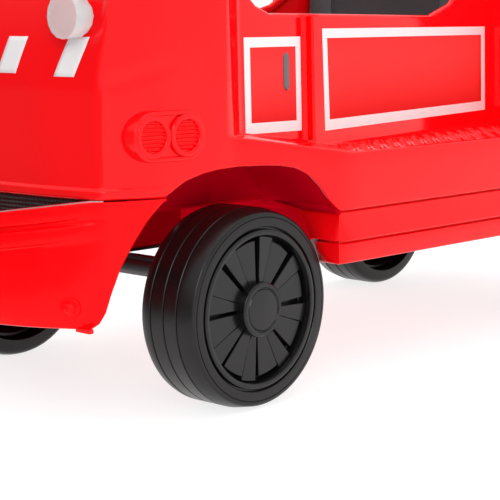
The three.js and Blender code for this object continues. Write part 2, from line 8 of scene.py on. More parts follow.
import bmesh
import bpy
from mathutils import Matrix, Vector


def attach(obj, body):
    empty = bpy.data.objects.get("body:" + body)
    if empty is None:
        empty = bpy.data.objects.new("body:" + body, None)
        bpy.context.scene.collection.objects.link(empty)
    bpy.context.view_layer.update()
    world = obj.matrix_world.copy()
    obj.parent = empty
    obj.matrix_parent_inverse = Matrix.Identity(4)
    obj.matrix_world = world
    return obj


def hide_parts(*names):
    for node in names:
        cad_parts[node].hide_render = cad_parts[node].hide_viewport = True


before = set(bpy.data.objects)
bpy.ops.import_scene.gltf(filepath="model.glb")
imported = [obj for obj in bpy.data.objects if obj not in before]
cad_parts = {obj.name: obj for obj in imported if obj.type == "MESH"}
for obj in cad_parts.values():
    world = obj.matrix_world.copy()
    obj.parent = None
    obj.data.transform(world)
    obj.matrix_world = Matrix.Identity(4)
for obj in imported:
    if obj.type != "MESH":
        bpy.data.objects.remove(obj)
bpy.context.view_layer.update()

MM = 0.001
CHASSIS = "chassis"

# ------------------------------------------------------------------ driving dimensions
WHEEL_R = 102
WHEEL_OUT = 225  # outer face of a wheel
FRONT_Y = -332
REAR_Y = 358
CAB_BASE_Z = 222  # split line between cab and bumper
CAB_TOP_Z = 446
GROOVE_HIGH_Z = 194.5
GROOVE_LOW_Z = 160.6
SKIRT_Z = 138
STEP_Z = 254
LEDGE_Z = 276  # ledge height where the door recess starts
RECESS_Y = -363
SKIRT_FRONT_Y = -232
STEP_FRONT_Y = -212
BOX_FRONT_Y = 190
BOX_REAR_Y = 548
BOX_X = 228
BOX_TOP_Z = 470
KINGPIN_X = 122
LINER_X = 140  # inner wall of the wheel wells
BUMPER_Z = 100
WALL = 3.5  # thickness of the moulded panels
WALL_LEAN = 0.03  # how far the side walls lean in for each mm of height


# ------------------------------------------------------------------ small geometry helpers
def lerp(a, b, t):
    """The value a share t of the way from a to b."""
    return a + (b - a) * t


def circle(radius, count):
    """Points round a circle."""
    turns = [2 * math.pi * k / count for k in range(count)]
    return [(radius * math.cos(a), radius * math.sin(a)) for a in turns]


def between(table, x):
    """Straight-line reading of a table of (x, value) rows."""
    if x <= table[0][0]:
        return table[0][1]
    for (x0, v0), (x1, v1) in zip(table, table[1:]):
        if x <= x1:
            return lerp(v0, v1, (x - x0) / max(x1 - x0, 1e-9))
    return table[-1][1]


def smoothstep(a, b, x):
    """0 at a, 1 at b, and a smooth rise between."""
    t = min(max((x - a) / (b - a), 0), 1)
    return t * t * (3 - 2 * t)


def rounded(points, radii, steps=4):
    """A polyline whose inner corners are arcs. Each corner has the same number of points."""
    out = [tuple(points[0])]
    for i in range(1, len(points) - 1):
        p, a, b = Vector(points[i]), Vector(points[i - 1]), Vector(points[i + 1])
        u, v = a - p, b - p
        if u.length < 1e-6 or v.length < 1e-6 or radii[i - 1] <= 0:
            out += [tuple(p)] * (steps + 1)
            continue
        turn = math.pi - u.angle(v)
        if turn < 1e-4:
            out += [tuple(p)] * (steps + 1)
            continue
        cut = min(radii[i - 1] * math.tan(turn / 2), 0.48 * u.length, 0.48 * v.length)
        start, end = p + u.normalized() * cut, p + v.normalized() * cut
        radius = cut / math.tan(turn / 2)
        centre = p + (u.normalized() + v.normalized()).normalized() * (radius / math.cos(turn / 2))
        for k in range(steps + 1):
            w = start.lerp(end, k / steps) - centre
            out.append(tuple(centre + w.normalized() * radius if w.length > 1e-6 else p))
    out.append(tuple(points[-1]))
    return out


def resampled(points, longest):
    """The same polyline with extra points, so that no step is longer than a length."""
    out = [points[0]]
    for a, b in zip(points, points[1:]):
        length = math.dist(a, b)
        if length < 1e-6:
            continue
        n = max(1, math.ceil(length / longest))
        out += [tuple(lerp(p, q, k / n) for p, q in zip(a, b)) for k in range(1, n + 1)]
    return out


class Skin:
    """Collects patches of a moulded panel, in mm, and welds them into one mesh."""

    def __init__(self):
        self.verts = []
        self.faces = []

    def patch(self, rows, closed=False):
        """A sheet through rows of points, all of one length. closed joins each row's ends."""
        first, n = len(self.verts), len(rows[0])
        self.verts += [p for row in rows for p in row]
        for r in range(len(rows) - 1):
            for c in range(n if closed else n - 1):
                a, b = first + r * n + c, first + r * n + (c + 1) % n
                self.faces.append((a, b, b + n, a + n))
        return self

    def cap(self, loop):
        """A flat face inside a closed loop of points."""
        first = len(self.verts)
        self.verts += loop
        self.faces.append(tuple(range(first, first + len(loop))))
        return self

    def mesh(self, name, weld=0.02):
        """A mesh of all the patches, with points closer than weld mm joined."""
        data = bpy.data.meshes.new(name)
        bm = bmesh.new()
        verts = [bm.verts.new(Vector(p) * MM) for p in self.verts]
        for f in self.faces:
            bm.faces.new([verts[i] for i in f])
        bmesh.ops.remove_doubles(bm, verts=bm.verts, dist=weld * MM)
        bmesh.ops.dissolve_degenerate(bm, edges=bm.edges, dist=0.005 * MM)
        bmesh.ops.recalc_face_normals(bm, faces=bm.faces)
        bm.to_mesh(data)
        bm.free()
        return data


def shown(name, data, material, body=CHASSIS, replaces=(), smooth=35):
    """Makes an object of a mesh, gives it its material and lets it ride on a body."""
    obj = bpy.data.objects.new(name, data)
    bpy.context.scene.collection.objects.link(obj)
    data.materials.append(material)
    for face in data.polygons:
        face.use_smooth = True
    if smooth:
        data.set_sharp_from_angle(angle=math.radians(smooth))
    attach(obj, body)
    if replaces:
        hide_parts(*replaces)
    return obj


def face_outward(obj, point, direction):
    """Turns the mesh inside out if the face nearest a point (mm) doesn't look along a direction."""
    data = obj.data
    target = Vector(point) * MM
    nearest = min(data.polygons, key=lambda f: (f.center - target).length)
    if nearest.normal.dot(Vector(direction)) < 0:
        data.flip_normals()


def mirror(obj):
    """Adds the other side of the vehicle."""
    m = obj.modifiers.new("mirror", "MIRROR")
    m.use_axis = (True, False, False)
    m.merge_threshold = 0.02 * MM


def thicken(obj, mm):
    """Gives a sheet its wall, on the inner side."""
    m = obj.modifiers.new("wall", "SOLIDIFY")
    m.thickness = mm * MM
    m.offset = -1


def bevel(obj, mm, segments, angle):
    """Rounds the edges that turn by more than an angle."""
    m = obj.modifiers.new("edges", "BEVEL")
    m.width = mm * MM
    m.segments = segments
    m.limit_method = "ANGLE"
    m.angle_limit = math.radians(angle)
    m.harden_normals = False
    m.use_clamp_overlap = True


def pair(name):
    """The names of a left and a right node."""
    return [name + "_left", name + "_right"]


# ------------------------------------------------------------------ materials
def plastic(name, colour, roughness, variation=0.03, bump=0.03, bump_scale=900, specular=0.5):
    """Moulded plastic: faint colour mottling, uneven gloss and a fine orange-peel surface."""
    material = bpy.data.materials.new(name)
    material.use_nodes = True
    nodes, links = material.node_tree.nodes, material.node_tree.links
    shader = nodes["Principled BSDF"]
    shader.inputs["Specular IOR Level"].default_value = specular
    where = nodes.new("ShaderNodeTexCoord")

    def noise(scale, detail):
        n = nodes.new("ShaderNodeTexNoise")
        n.inputs["Scale"].default_value = scale
        n.inputs["Detail"].default_value = detail
        links.new(where.outputs["Object"], n.inputs["Vector"])
        return n

    mottle = noise(6, 3)
    ramp = nodes.new("ShaderNodeValToRGB")
    dark = [c * (1 - variation) for c in colour]
    light = [min(c * (1 + variation), 1) for c in colour]
    ramp.color_ramp.elements[0].position = 0.35
    ramp.color_ramp.elements[1].position = 0.65
    ramp.color_ramp.elements[0].color = (*dark, 1)
    ramp.color_ramp.elements[1].color = (*light, 1)
    links.new(mottle.outputs["Fac"], ramp.inputs["Fac"])
    links.new(ramp.outputs["Color"], shader.inputs["Base Color"])

    gloss = nodes.new("ShaderNodeMapRange")
    gloss.inputs["To Min"].default_value = roughness * 0.8
    gloss.inputs["To Max"].default_value = roughness * 1.25
    links.new(noise(25, 4).outputs["Fac"], gloss.inputs["Value"])
    links.new(gloss.outputs["Result"], shader.inputs["Roughness"])

    peel = nodes.new("ShaderNodeBump")
    peel.inputs["Strength"].default_value = bump
    peel.inputs["Distance"].default_value = 0.0005
    links.new(noise(bump_scale, 2).outputs["Fac"], peel.inputs["Height"])
    links.new(peel.outputs["Normal"], shader.inputs["Normal"])
    return material


def metal(name, colour, roughness):
    """Plated or painted metal with a fine grain."""
    material = plastic(name, colour, roughness, variation=0.08, bump=0.06, bump_scale=1500)
    material.node_tree.nodes["Principled BSDF"].inputs["Metallic"].default_value = 1.0
    return material


def lattice(name, colour, roughness):
    """Black mesh: small cells pressed into the surface."""
    material = plastic(name, colour, roughness, specular=0.6)
    nodes, links = material.node_tree.nodes, material.node_tree.links
    where = nodes.new("ShaderNodeTexCoord")
    cells = nodes.new("ShaderNodeTexVoronoi")
    cells.inputs["Scale"].default_value = 260
    cells.inputs["Randomness"].default_value = 0.0
    press = nodes.new("ShaderNodeBump")
    press.inputs["Strength"].default_value = 0.9
    press.inputs["Distance"].default_value = 0.002
    links.new(where.outputs["Object"], cells.inputs["Vector"])
    links.new(cells.outputs["Distance"], press.inputs["Height"])
    links.new(press.outputs["Normal"], nodes["Principled BSDF"].inputs["Normal"])
    return material


def clear(name, colour, roughness=0.03, transmission=1.0):
    """See-through plastic, tinted by its colour."""
    material = plastic(name, colour, roughness, variation=0.01, bump=0.01, bump_scale=60)
    shader = material.node_tree.nodes["Principled BSDF"]
    shader.inputs["Transmission Weight"].default_value = transmission
    shader.inputs["IOR"].default_value = 1.45
    return material


RED = plastic("red_plastic", (0.93, 0.002, 0.005), 0.1, variation=0.02, bump=0.015, bump_scale=350,
              specular=0.24)
# A copy of the body's red with its reflection turned down and its colour a touch deeper, so the bumper
# reads darker: painted shade.
SHADED_BUMPER_RED = plastic("shaded_bumper_red_plastic", (0.93, 0.0015, 0.004), 0.12, variation=0.02, bump=0.015,
                     bump_scale=350, specular=0.1)
# A darker copy of the body's red without reflection, for the wheel wells, the axle guards and the floor
# pan: painted shade.
PAINTED_SHADE_RED = plastic("painted_shade_red_plastic", (0.62, 0.0002, 0.0115), 0.6, bump=0.05, specular=0.0)
# A darker copy of the body's red without reflection, for the wall's step face: painted shade.
SHADED_RED = plastic("shaded_red_plastic", (0.88, 0.001, 0.002), 0.5, bump=0.02, specular=0.0)
BLACK = plastic("black_plastic", (0.008, 0.0075, 0.008), 0.25, bump=0.08, specular=0.4)
TYRE = plastic("tyre_plastic", (0.0055, 0.0042, 0.0047), 0.3, variation=0.15, bump=0.1, bump_scale=1400,
               specular=0.35)
RIM = plastic("rim_plastic", (0.0042, 0.004, 0.0044), 0.24, variation=0.06, bump=0.05, specular=0.4)
MESH = lattice("black_mesh", (0.012, 0.011, 0.012), 0.3)
CHROME = metal("trim_chrome", (0.85, 0.85, 0.86), 0.15)
# Black with a red tint: the black is the beam's own colour, the red tint a painted reflection of the body
# above.
BEAM = plastic("beam_black", (0.016, 0.006, 0.007), 0.18, specular=0.5)
SEAT = plastic("seat_plastic", (0.05, 0.05, 0.054), 0.55, variation=0.08, bump=0.25, bump_scale=700)
WHITE = plastic("white_print", (0.83, 0.79, 0.8), 0.3, variation=0.01, bump=0.01)
PRINT_RED = plastic("red_print", (0.93, 0.043, 0.043), 0.5, variation=0.01, bump=0.01, specular=0.0)
GREY = plastic("grey_print", (0.13, 0.12, 0.13), 0.35, bump=0.01)
STEEL = metal("black_steel", (0.03, 0.03, 0.032), 0.3)
ZINC = metal("zinc_steel", (0.6, 0.6, 0.61), 0.28)
SILVER = plastic("silver_plastic", (0.5, 0.51, 0.52), 0.28)
CLEAR = clear("clear_plastic", (0.93, 0.96, 0.97))
BLUE_LENS = clear("blue_lens", (0.02, 0.12, 0.85), 0.08, 0.55)
RED_LENS = clear("red_lens", (0.75, 0.01, 0.02), 0.08, 0.45)
CLEAR_LENS = clear("clear_lens", (0.9, 0.92, 0.92), 0.06, 0.6)


# ------------------------------------------------------------------ outlines of the body
# Outer plan of cab and boards, from the middle of the front to the rear corner.
OUTER = rounded(
    [(0, -525), (110, -518), (179, -506), (202, -455), (213, -374), (213, RECESS_Y), (231, -296),
     (243, SKIRT_FRONT_Y), (245, STEP_FRONT_Y), (245, 470), (238, 530), (225, BOX_REAR_Y)],
    [260, 13, 160, 60, 40, 60, 30, 20, 80, 30], steps=6)
# Edge of the front wheel arch as (y, z), up from the bumper's foot and down to the skirt.
FRONT_ARCH = [(-513, 100), (-507.6, 105.4), (-503.4, 116), (-499, 135), (-491.3, 157.5), (-478, 180.7),
              (-464.6, 200.3), (-453, 213.8), (-444, 222), (-432, 230), (-420, 236.5),
              (-400, 242), (-382, 245), (-353, 246.5), (-324, 246), (-307, 245), (-290, 242), (-280, 238),
              (-270, 232.5), (-258, 221.5), (-247, 208), (-239, 200), (SKIRT_FRONT_Y, GROOVE_HIGH_Z)]
REAR_ARCH_HALF = 120
REAR_ARCH_RISE = 50
# Recessed side wall: door panel, a narrow step out, then the seat side that tapers to the rear box.
SIDE_WALL = rounded(
    [(213, -372), (213, RECESS_Y), (200, -336), (186, -221), (195, -219.4), (139, BOX_FRONT_Y)],
    [3, 3, 0, 0], steps=4)
# Heights along y of the ledge outside the wall, of the wall's foot and of the wall's top.
LEDGE = [(RECESS_Y, LEDGE_Z), (STEP_FRONT_Y, STEP_Z), (600, STEP_Z)]
FOOT = [(RECESS_Y, LEDGE_Z), (-331, 276), (-222, 261.5), (-205, 257.5), (600, 257)]
WALL_TOP = [(-371, CAB_TOP_Z), (-352, 442), (-332, 424), (-305, 404), (-280, 396), (40, 394), (90, 408),
            (140, 440), (165, 456), (BOX_FRONT_Y, 462)]


def outer_x(y):
    """Outer plan of the side at y."""
    return between([(q, p) for p, q in OUTER if q > -470], y)


def wall_x(y):
    """Plan of the side wall's foot at y."""
    if y > BOX_FRONT_Y + 0.5:
        return BOX_X + 0.8
    return between([(q, p) for p, q in SIDE_WALL], y)


def arch_z(y):
    """Height of the wheel-arch edge over y, or the high groove where there is no arch."""
    if y < SKIRT_FRONT_Y:
        return between(FRONT_ARCH, y)
    t = (y - REAR_Y) / REAR_ARCH_HALF
    return GROOVE_HIGH_Z + (REAR_ARCH_RISE * math.sqrt(1 - t * t) if abs(t) < 1 else 0)


def arch_y(z):
    """Where the front arch edge stands at a height, ahead of the wheel."""
    return between([(h, y) for y, h in FRONT_ARCH[:9]], z)


# ------------------------------------------------------------------ body skin: cab, walls, ledges, fenders
HOOD_INSET = 62
COCKPIT_X = 151
COCKPIT_FRONT_Y = -402
CAB_SIDE_Y = -444  # behind this the cab's side reaches down to the wheel arch
EDGE_ROLL = 12  # how far the cockpit's edge turns down


def body_stations():
    """(x, y, outward normal) along the outer plan, close together over the wheel arch."""
    front = resampled([p for p in OUTER if p[1] <= -446], 9)
    turns = [q for q, _ in SIDE_WALL] + [q for q, _ in FRONT_ARCH if q > -446] + [q for q, _ in WALL_TOP]
    rear_arch = [REAR_Y - REAR_ARCH_HALF * math.cos(math.pi * k / 24) for k in range(25)]
    ys = sorted(turns + rear_arch + [-438, -410, -391] + [-370 + 12 * k for k in range(47)]
                + [BOX_FRONT_Y + 1, 204, 220, 490, 510, 525, 535, 542, BOX_REAR_Y - 1])
    sides = []
    for y in ys:
        if not sides or y - sides[-1] > 0.35:
            sides.append(y)
    stations = front + [(outer_x(y), y) for y in sides]
    out = []
    for i, (x, y) in enumerate(stations):
        if i == 0:
            normal = Vector((0, -1))
        elif y > -400:
            normal = Vector((1, 0))
        else:
            heading = Vector(stations[i + 1]) - Vector(stations[i - 1])
            normal = Vector((heading.y, -heading.x)).normalized()
        out.append((x, y, normal))
    return out


def body_section(x, y, normal):
    """Points down a station: (inset, z) pairs from the cockpit's edge to the lower edge."""
    in_cab = y <= RECESS_Y
    side = y > CAB_SIDE_Y and x > 190
    base = arch_z(y) if side else CAB_BASE_Z
    lip = 0 if side else 1 - smoothstep(-470, -446, y) if x > 190 else 1
    if in_cab:
        inset, foot, ledge, top, roll = 0, LEDGE_Z, LEDGE_Z, CAB_TOP_Z, 24
        rim = x - COCKPIT_X if y > -400 else HOOD_INSET
        if x - HOOD_INSET * normal.x < COCKPIT_X and y > -470:
            rim = x - COCKPIT_X
    elif y > BOX_FRONT_Y + 0.5:
        inset, foot, ledge, top, roll = x - wall_x(y), STEP_Z + 3, STEP_Z, BOX_TOP_Z + 1, 16
        rim = x
    else:
        inset, foot, ledge = x - wall_x(y), between(FOOT, y), between(LEDGE, y)
        top = between(WALL_TOP, y)
        roll = lerp(24, 7, smoothstep(RECESS_Y, -320, y))
        rim = inset + lerp(x - inset - COCKPIT_X, 12, smoothstep(RECESS_Y, -318, y))
    lean = WALL_LEAN * (top - foot) if RECESS_Y < y <= BOX_FRONT_Y else 0
    edge_drop = 0 if y > BOX_FRONT_Y + 0.5 else EDGE_ROLL
    turned_in = 2.5 if side else 1.5
    unit = min(3, (ledge - base) / 6)
    lip_out = -2.6 * lip
    lip_foot = base + unit * (0.15 if side else 0.7)
    outline = rounded(
        [(rim, top - edge_drop), (rim, top), (inset + lean, top), (inset, foot), (0, ledge),
         (0, base + 4 * unit), (lip_out, base + 3 * unit), (lip_out, lip_foot),
         (turned_in, base + 0.3 * lip)],
        [2.5, roll, 4, 3.5, 3, 3, 2.5], steps=4)
    upper, lower = outline[10], outline[11]
    upright = [tuple(lerp(p, q, k / 30) for p, q in zip(upper, lower)) for k in range(1, 30)]
    return outline[:11] + upright + outline[11:]


def hood_slope(z, front):
    """How far back the cab's front leans at a height. front is 1 where the skin faces forward."""
    return 26 * max((z - 326) / 120, 0) ** 1.45 * front


def body_point(x, y, normal, inset, z):
    """A point of the body's skin, with the cab's slope, its soft crease and its raised rear band."""
    front = max(-normal.y, 0) ** 1.5
    px, py = x - normal.x * inset, y - normal.y * inset + hood_slope(z, front)
    if y < -430 and x > 180 and inset < 1:
        crease = math.exp(-((z - 324 - 0.33 * (y + 509)) / 4.5) ** 2)
        px -= 1.1 * (crease * smoothstep(-505, -485, y) * smoothstep(-430, -455, y))
    if -400 < y < RECESS_Y and inset < 1 and z < 350:
        px += 0.5 * smoothstep(-391, -387, y) * smoothstep(350, 330, z) * smoothstep(RECESS_Y, -364, y)
    if y < RECESS_Y and inset > HOOD_INSET * 0.5:
        px = min(px, COCKPIT_X + max(HOOD_INSET - inset, 0))
    return (max(px, 0), py, z)


def cockpit_edge(x, y):
    """Where the hood's sheet ends, for a station of the cab."""
    if y > -400 and x > 190:
        return None
    return (min(x * 0.86, COCKPIT_X), COCKPIT_FRONT_Y)


def make_body():
    """One moulded skin from the hood's cockpit edge, over the walls and ledges, to the wheel arches."""
    rows = []
    for x, y, normal in body_stations():
        row = [body_point(x, y, normal, d, z) for d, z in body_section(x, y, normal)]
        edge = cockpit_edge(x, y)
        if edge:
            row[:2] = [(*edge, CAB_TOP_Z - EDGE_ROLL), (*edge, CAB_TOP_Z)]
        rows.append(row[:2] + row[3:])
    skin = Skin().patch(rows)
    obj = shown("body_shell", skin.mesh("body_shell"), RED,
                replaces=["cab_shell"] + pair("side_wall") + pair("running_board"))
    face_outward(obj, (213, -400, 300), (1, 0, 0))
    mirror(obj)
    thicken(obj, WALL)


def skin_x(y, z):
    """Outer x of the recessed wall at a height."""
    return wall_x(y) - WALL_LEAN * (z - between(FOOT, y))


# ------------------------------------------------------------------ printed frames, handles and bars
def frame_print(name, outer, inner):
    """A printed frame between an outer and an inner outline of (y, z) corners, with its own thickness."""
    rows = []
    outer_sides = zip(outer, outer[1:] + outer[:1])
    inner_sides = zip(inner, inner[1:] + inner[:1])
    for (a0, a1), (b0, b1) in zip(outer_sides, inner_sides):
        steps = max(2, int(math.dist(a0, a1) / 9))
        for k in range(steps):
            p = [lerp(p0, p1, k / steps) for p0, p1 in zip(a0, a1)]
            q = [lerp(q0, q1, k / steps) for q0, q1 in zip(b0, b1)]
            rows.append([(skin_x(*p) - 0.5, *p), (skin_x(*p) + 0.35, *p), (skin_x(*q) + 0.35, *q),
                         (skin_x(*q) - 0.5, *q)])
    rows.append(rows[0])
    skin = Skin().patch(rows)
    obj = shown(name, skin.mesh(name), WHITE, smooth=30)
    face_outward(obj, (185, *outer[0]), (1, 0, 0))
    mirror(obj)


def panel_print(name, y0, y1, z0, z1):
    """A printed panel on the recessed wall. z0 holds the lower edge's heights at y0 and y1."""
    rows = []
    for k in range(33):
        y = lerp(y0, y1, k / 32)
        foot = lerp(*z0, k / 32)
        rows.append([(skin_x(y, z) + 0.2, y, z) for z in (foot, lerp(foot, z1, 0.5), z1)])
    skin = Skin().patch(rows)
    obj = shown(name, skin.mesh(name), PRINT_RED, smooth=30)
    face_outward(obj, (185, (y0 + y1) / 2, z1), (1, 0, 0))
    mirror(obj)
    thicken(obj, 0.6)


def make_wall_step():
    """The narrow face of the moulded step between the door panel and the seat side, its darker red painted
    shade.
    """
    rows = []
    for k in range(25):
        z = lerp(264.5, 393, k / 24)
        lean = WALL_LEAN * (z - 262)
        rows.append([(x - lean, y - 0.5, z) for x, y in ((186.3, -221.4), (191, -220.5), (195.2, -219.7))])
    skin = Skin().patch(rows)
    obj = shown("wall_step", skin.mesh("wall_step"), SHADED_RED)
    face_outward(obj, (190, -221.5, 330), (0, -1, 0))
    mirror(obj)
    thicken(obj, 0.6)


def make_prints():
    """White-edged panels on the door and on the seat side."""
    panel_print("door_print", -319, -236, (286, 285), 363)
    panel_print("side_print", -187, 169, (283.5, 287.5), 371)
    frame_print("door_frame_print", [(-328, 372), (-328, 276), (-228, 274.3), (-228, 372)],
                [(-318, 362), (-318, 286.5), (-237, 285.3), (-237, 362)])
    frame_print("side_frame_print", [(-198, 380), (-195, 272.4), (178, 276.7), (178, 380)],
                [(-189, 370), (-186, 283.8), (168, 287.8), (168, 370)])


HANDLE_Y = -255
HANDLE_Z = (317, 356)
HANDLE_HALF = 5  # half the handle's width and the radius of its ends


def make_door_handle():
    """An upright grey handle with round ends."""
    rows = []
    for k in range(13):
        z = lerp(*HANDLE_Z, k / 12)
        past_end = max(HANDLE_Z[0] + HANDLE_HALF - z, z - HANDLE_Z[1] + HANDLE_HALF, 0)
        half = HANDLE_HALF * math.sqrt(max(1 - past_end ** 2 / HANDLE_HALF ** 2, 0.02))
        rows.append([(skin_x(HANDLE_Y + d * half, z) + h, HANDLE_Y + d * half, z)
                     for d, h in ((-1, -0.5), (-1, 1), (-0.6, 2.2), (0.6, 2.2), (1, 1), (1, -0.5))])
    skin = Skin().patch(rows).cap(rows[0]).cap(rows[-1])
    obj = shown("door_handle", skin.mesh("door_handle"), GREY, smooth=40)
    face_outward(obj, (190, HANDLE_Y, 336), (1, 0, 0))
    mirror(obj)


def hood_point(x, z, out):
    """A point over the cab's front face, where it faces forward."""
    best = min(range(len(OUTER) - 1), key=lambda i: abs((OUTER[i][0] + OUTER[i + 1][0]) / 2 - x))
    (x0, y0), (x1, y1) = OUTER[best], OUTER[best + 1]
    y = y0 + (y1 - y0) * (x - x0) / max(x1 - x0, 1e-9)
    front = max((x1 - x0) / math.dist((x0, y0), (x1, y1)), 0) ** 1.5
    return (x, y + hood_slope(z, front) - out, z)


# (lower edge's x from and to, lower and upper z, sideways slant) of each bar
BARS = ((126, 150, 337, 374, 14), (50, 76, 339, 374, 12), (4, 28, 340, 374, 10))


def make_bars():
    """Slanted white bars printed across the cab's front."""
    for i, (x0, x1, z0, z1, slant) in enumerate(BARS):
        rows = []
        for k in range(9):
            z = lerp(z0, z1, k / 8)
            rows.append([hood_point(lerp(x0, x1, j / 6) + slant * k / 8, z, 0.35) for j in range(7)])
        skin = Skin().patch(rows)
        obj = shown(f"front_bar_{i}", skin.mesh("bar"), WHITE)
        face_outward(obj, (x0, -520, z0), (0, -1, 0))
        mirror(obj)
        thicken(obj, 0.8)


# ------------------------------------------------------------------ side vents
VENT_Y, VENT_Z = -442, 281
VENT_END = 24  # radius of the plate's round ends
VENT_STRAIGHT = 20.5  # half the plate's straight length
RING_CENTRES = (-463, -421.5)
# (shrink, drop) round the plate's edge, (radius, drop) across a ring and (z, drop) round a slat
VENT_PLATE = ((0, 18), (0, 1.5), (0.4, 0.6), (1.3, 0), (3.2, 0), (4, 0.5), (4.6, 3.2))
VENT_RING = ((20.6, 2.5), (20.6, 0.2), (19.8, -0.9), (18.6, -1.2), (16.6, -1.2), (15.6, -0.6), (15.1, 0.6),
             (15, 2.6), (7, 2.6))
VENT_SLAT = ((1.5, 3.2), (1.35, 1.3), (1.0, 0.55), (0.2, 0.35), (-1.0, 1.9), (-1.3, 3.2))
SLAT_PITCH = 3.6


def vent_point(y, z, drop):
    """A point drop millimetres below the face of the vent's plate."""
    return (207.2 + 0.075 * (y + 466) - drop, y, z)


def stadium(shrink, count=72):
    """(y, z) points of the vent's outline, drawn in by a distance."""
    out = []
    for k in range(count):
        a = 2 * math.pi * (k + 0.5) / count
        y = VENT_STRAIGHT * (1 if math.cos(a) > 0 else -1) + (VENT_END - shrink) * math.cos(a)
        out.append((VENT_Y + y, VENT_Z + (VENT_END - shrink) * math.sin(a)))
    return out


def make_vent():
    """A stadium plate with two raised rings, each round eight slats."""
    skin = Skin()
    rows = [[vent_point(y, z, drop) for y, z in stadium(shrink)] for shrink, drop in VENT_PLATE]
    skin.patch(rows, closed=True).cap(rows[-1])
    for centre in RING_CENTRES:
        rings = [[vent_point(centre + dy, VENT_Z + dz, drop) for dy, dz in circle(r, 56)]
                 for r, drop in VENT_RING]
        skin.patch(rings, closed=True).cap(rings[-1])
        for i in range(8):
            slat_z = (i - 3.5) * SLAT_PITCH
            half = math.sqrt(15.2 ** 2 - (abs(slat_z) + 1) ** 2)
            slat = [[vent_point(centre + dy * half, VENT_Z + slat_z + z, drop) for z, drop in VENT_SLAT]
                    for dy in (-1, -0.5, 0, 0.5, 1)]
            skin.patch(slat, closed=True).cap(slat[0]).cap(slat[-1])
    obj = shown("vent_skin", skin.mesh("vent_skin", weld=0.001), RED,
                replaces=pair("side_vent"), smooth=50)
    mirror(obj)


# ------------------------------------------------------------------ step tread with raised diamonds
LOZENGE_POINTS = ((-6.5, 0, 0), (0, -2.3, 0), (6.5, 0, 0), (0, 2.3, 0), (-3.4, 0, 1.5), (3.4, 0, 1.5))
LOZENGE_FACES = ((0, 1, 4), (1, 5, 4), (1, 2, 5), (2, 3, 5), (3, 4, 5), (3, 0, 4), (3, 2, 1, 0))


def make_tread():
    """Rows of raised lozenges that turn one way and the other."""
    skin = Skin()

    def lozenge(x, y, z, turn):
        c, n = math.cos(turn), math.sin(turn)
        first = len(skin.verts)
        skin.verts += [(x + u * c - v * n, y + u * n + v * c, z + h) for u, v, h in LOZENGE_POINTS]
        skin.faces += [tuple(first + i for i in f) for f in LOZENGE_FACES]

    for row in range(32):
        y = -198 + 12 * row
        for column in range(9):
            x = 236 - 11 * column
            z = STEP_Z + (245 - x) / max(245 - wall_x(y), 1) * 3.2
            if x > wall_x(y) + 9:
                lozenge(x, y, z - 0.1, math.radians(35 if (row + column) % 2 else -35))
    obj = shown("tread_diamonds", skin.mesh("tread_diamonds", weld=0.001), RED,
                replaces=pair("step_tread"), smooth=20)
    mirror(obj)


# ------------------------------------------------------------------ wheel wells
WELL_FOOT_Z = 203  # lower edge of a front well's inner wall


def make_front_wells():
    """Behind each front wheel a wall, over it a ceiling that comes down with the rear of the arch."""
    rows = []
    ys = [-478, -470, CAB_SIDE_Y] + [lerp(-440, SKIRT_FRONT_Y - 0.5, k / 40) for k in range(41)]
    for y in ys:
        x = (outer_x(y) if y > CAB_SIDE_Y else lerp(193, 205, smoothstep(-478, CAB_SIDE_Y, y))) - 3.2
        top = between(FRONT_ARCH, y) + 3.5 if y > CAB_SIDE_Y else 226
        wall = LINER_X + 3 * smoothstep(-320, -316, y)
        foot = min(WELL_FOOT_Z, top - 6)
        rows.append([(x, y, top - 1.5), (x - 4, y, top), (lerp(x, wall, 0.5), y, top), (wall + 6, y, top),
                     (wall + 1.6, y, top - 1.6), (wall, y, top - 6), (wall, y, foot)])
    rows.insert(0, [(x, y, foot) for x, y, _ in rows[0]])
    # The sheet ends in a flap that hangs down over the top of the skirt's end wall.
    rows.append([(x, y + 0.1, z - (7 if x > 160 else 0)) for x, y, z in rows[-1]])
    skin = Skin().patch(rows)
    # The wells' darker red is painted shade.
    obj = shown("front_wells", skin.mesh("front_wells"), PAINTED_SHADE_RED, smooth=40)
    face_outward(obj, (LINER_X, -380, 225), (1, 0, 0))
    mirror(obj)
    thicken(obj, 1.5)


# ------------------------------------------------------------------ skirt below the high groove
# Profiles as (inset, z): two boards with a groove over each. The grooves are shallow in the end walls.
SKIRT_RADII = [0.6, 0.4, 0.8, 1.0, 0.4, 0.4, 0.8, 2.5, 1]
SKIRT_PROFILE = rounded(
    [(0, GROOVE_HIGH_Z), (10, GROOVE_HIGH_Z - 0.4), (10, GROOVE_HIGH_Z - 2.6), (5, GROOVE_HIGH_Z - 3.2),
     (-4.4, GROOVE_LOW_Z + 2), (7, GROOVE_LOW_Z + 1), (7, GROOVE_LOW_Z - 1.4), (1.6, GROOVE_LOW_Z - 2),
     (0.5, SKIRT_Z), (9, SKIRT_Z - 1), (9, SKIRT_Z + 8)],
    SKIRT_RADII, steps=3)
SKIRT_END_PROFILE = rounded(
    [(0, GROOVE_HIGH_Z), (4, GROOVE_HIGH_Z - 0.4), (4.4, GROOVE_HIGH_Z - 2.4), (3.4, GROOVE_HIGH_Z - 3.4),
     (-3.4, GROOVE_LOW_Z + 2), (2.6, GROOVE_LOW_Z + 1), (3, GROOVE_LOW_Z - 1.2), (1.6, GROOVE_LOW_Z - 2.2),
     (0.5, SKIRT_Z), (5, SKIRT_Z - 1), (5.5, SKIRT_Z + 8)],
    SKIRT_RADII, steps=3)
# Inner edge of the end walls as (z, x).
END_WALL_EDGE = [(SKIRT_Z - 2, 216), (164, 205), (180, 194), (192, 185), (GROOVE_HIGH_Z + 1, 160)]


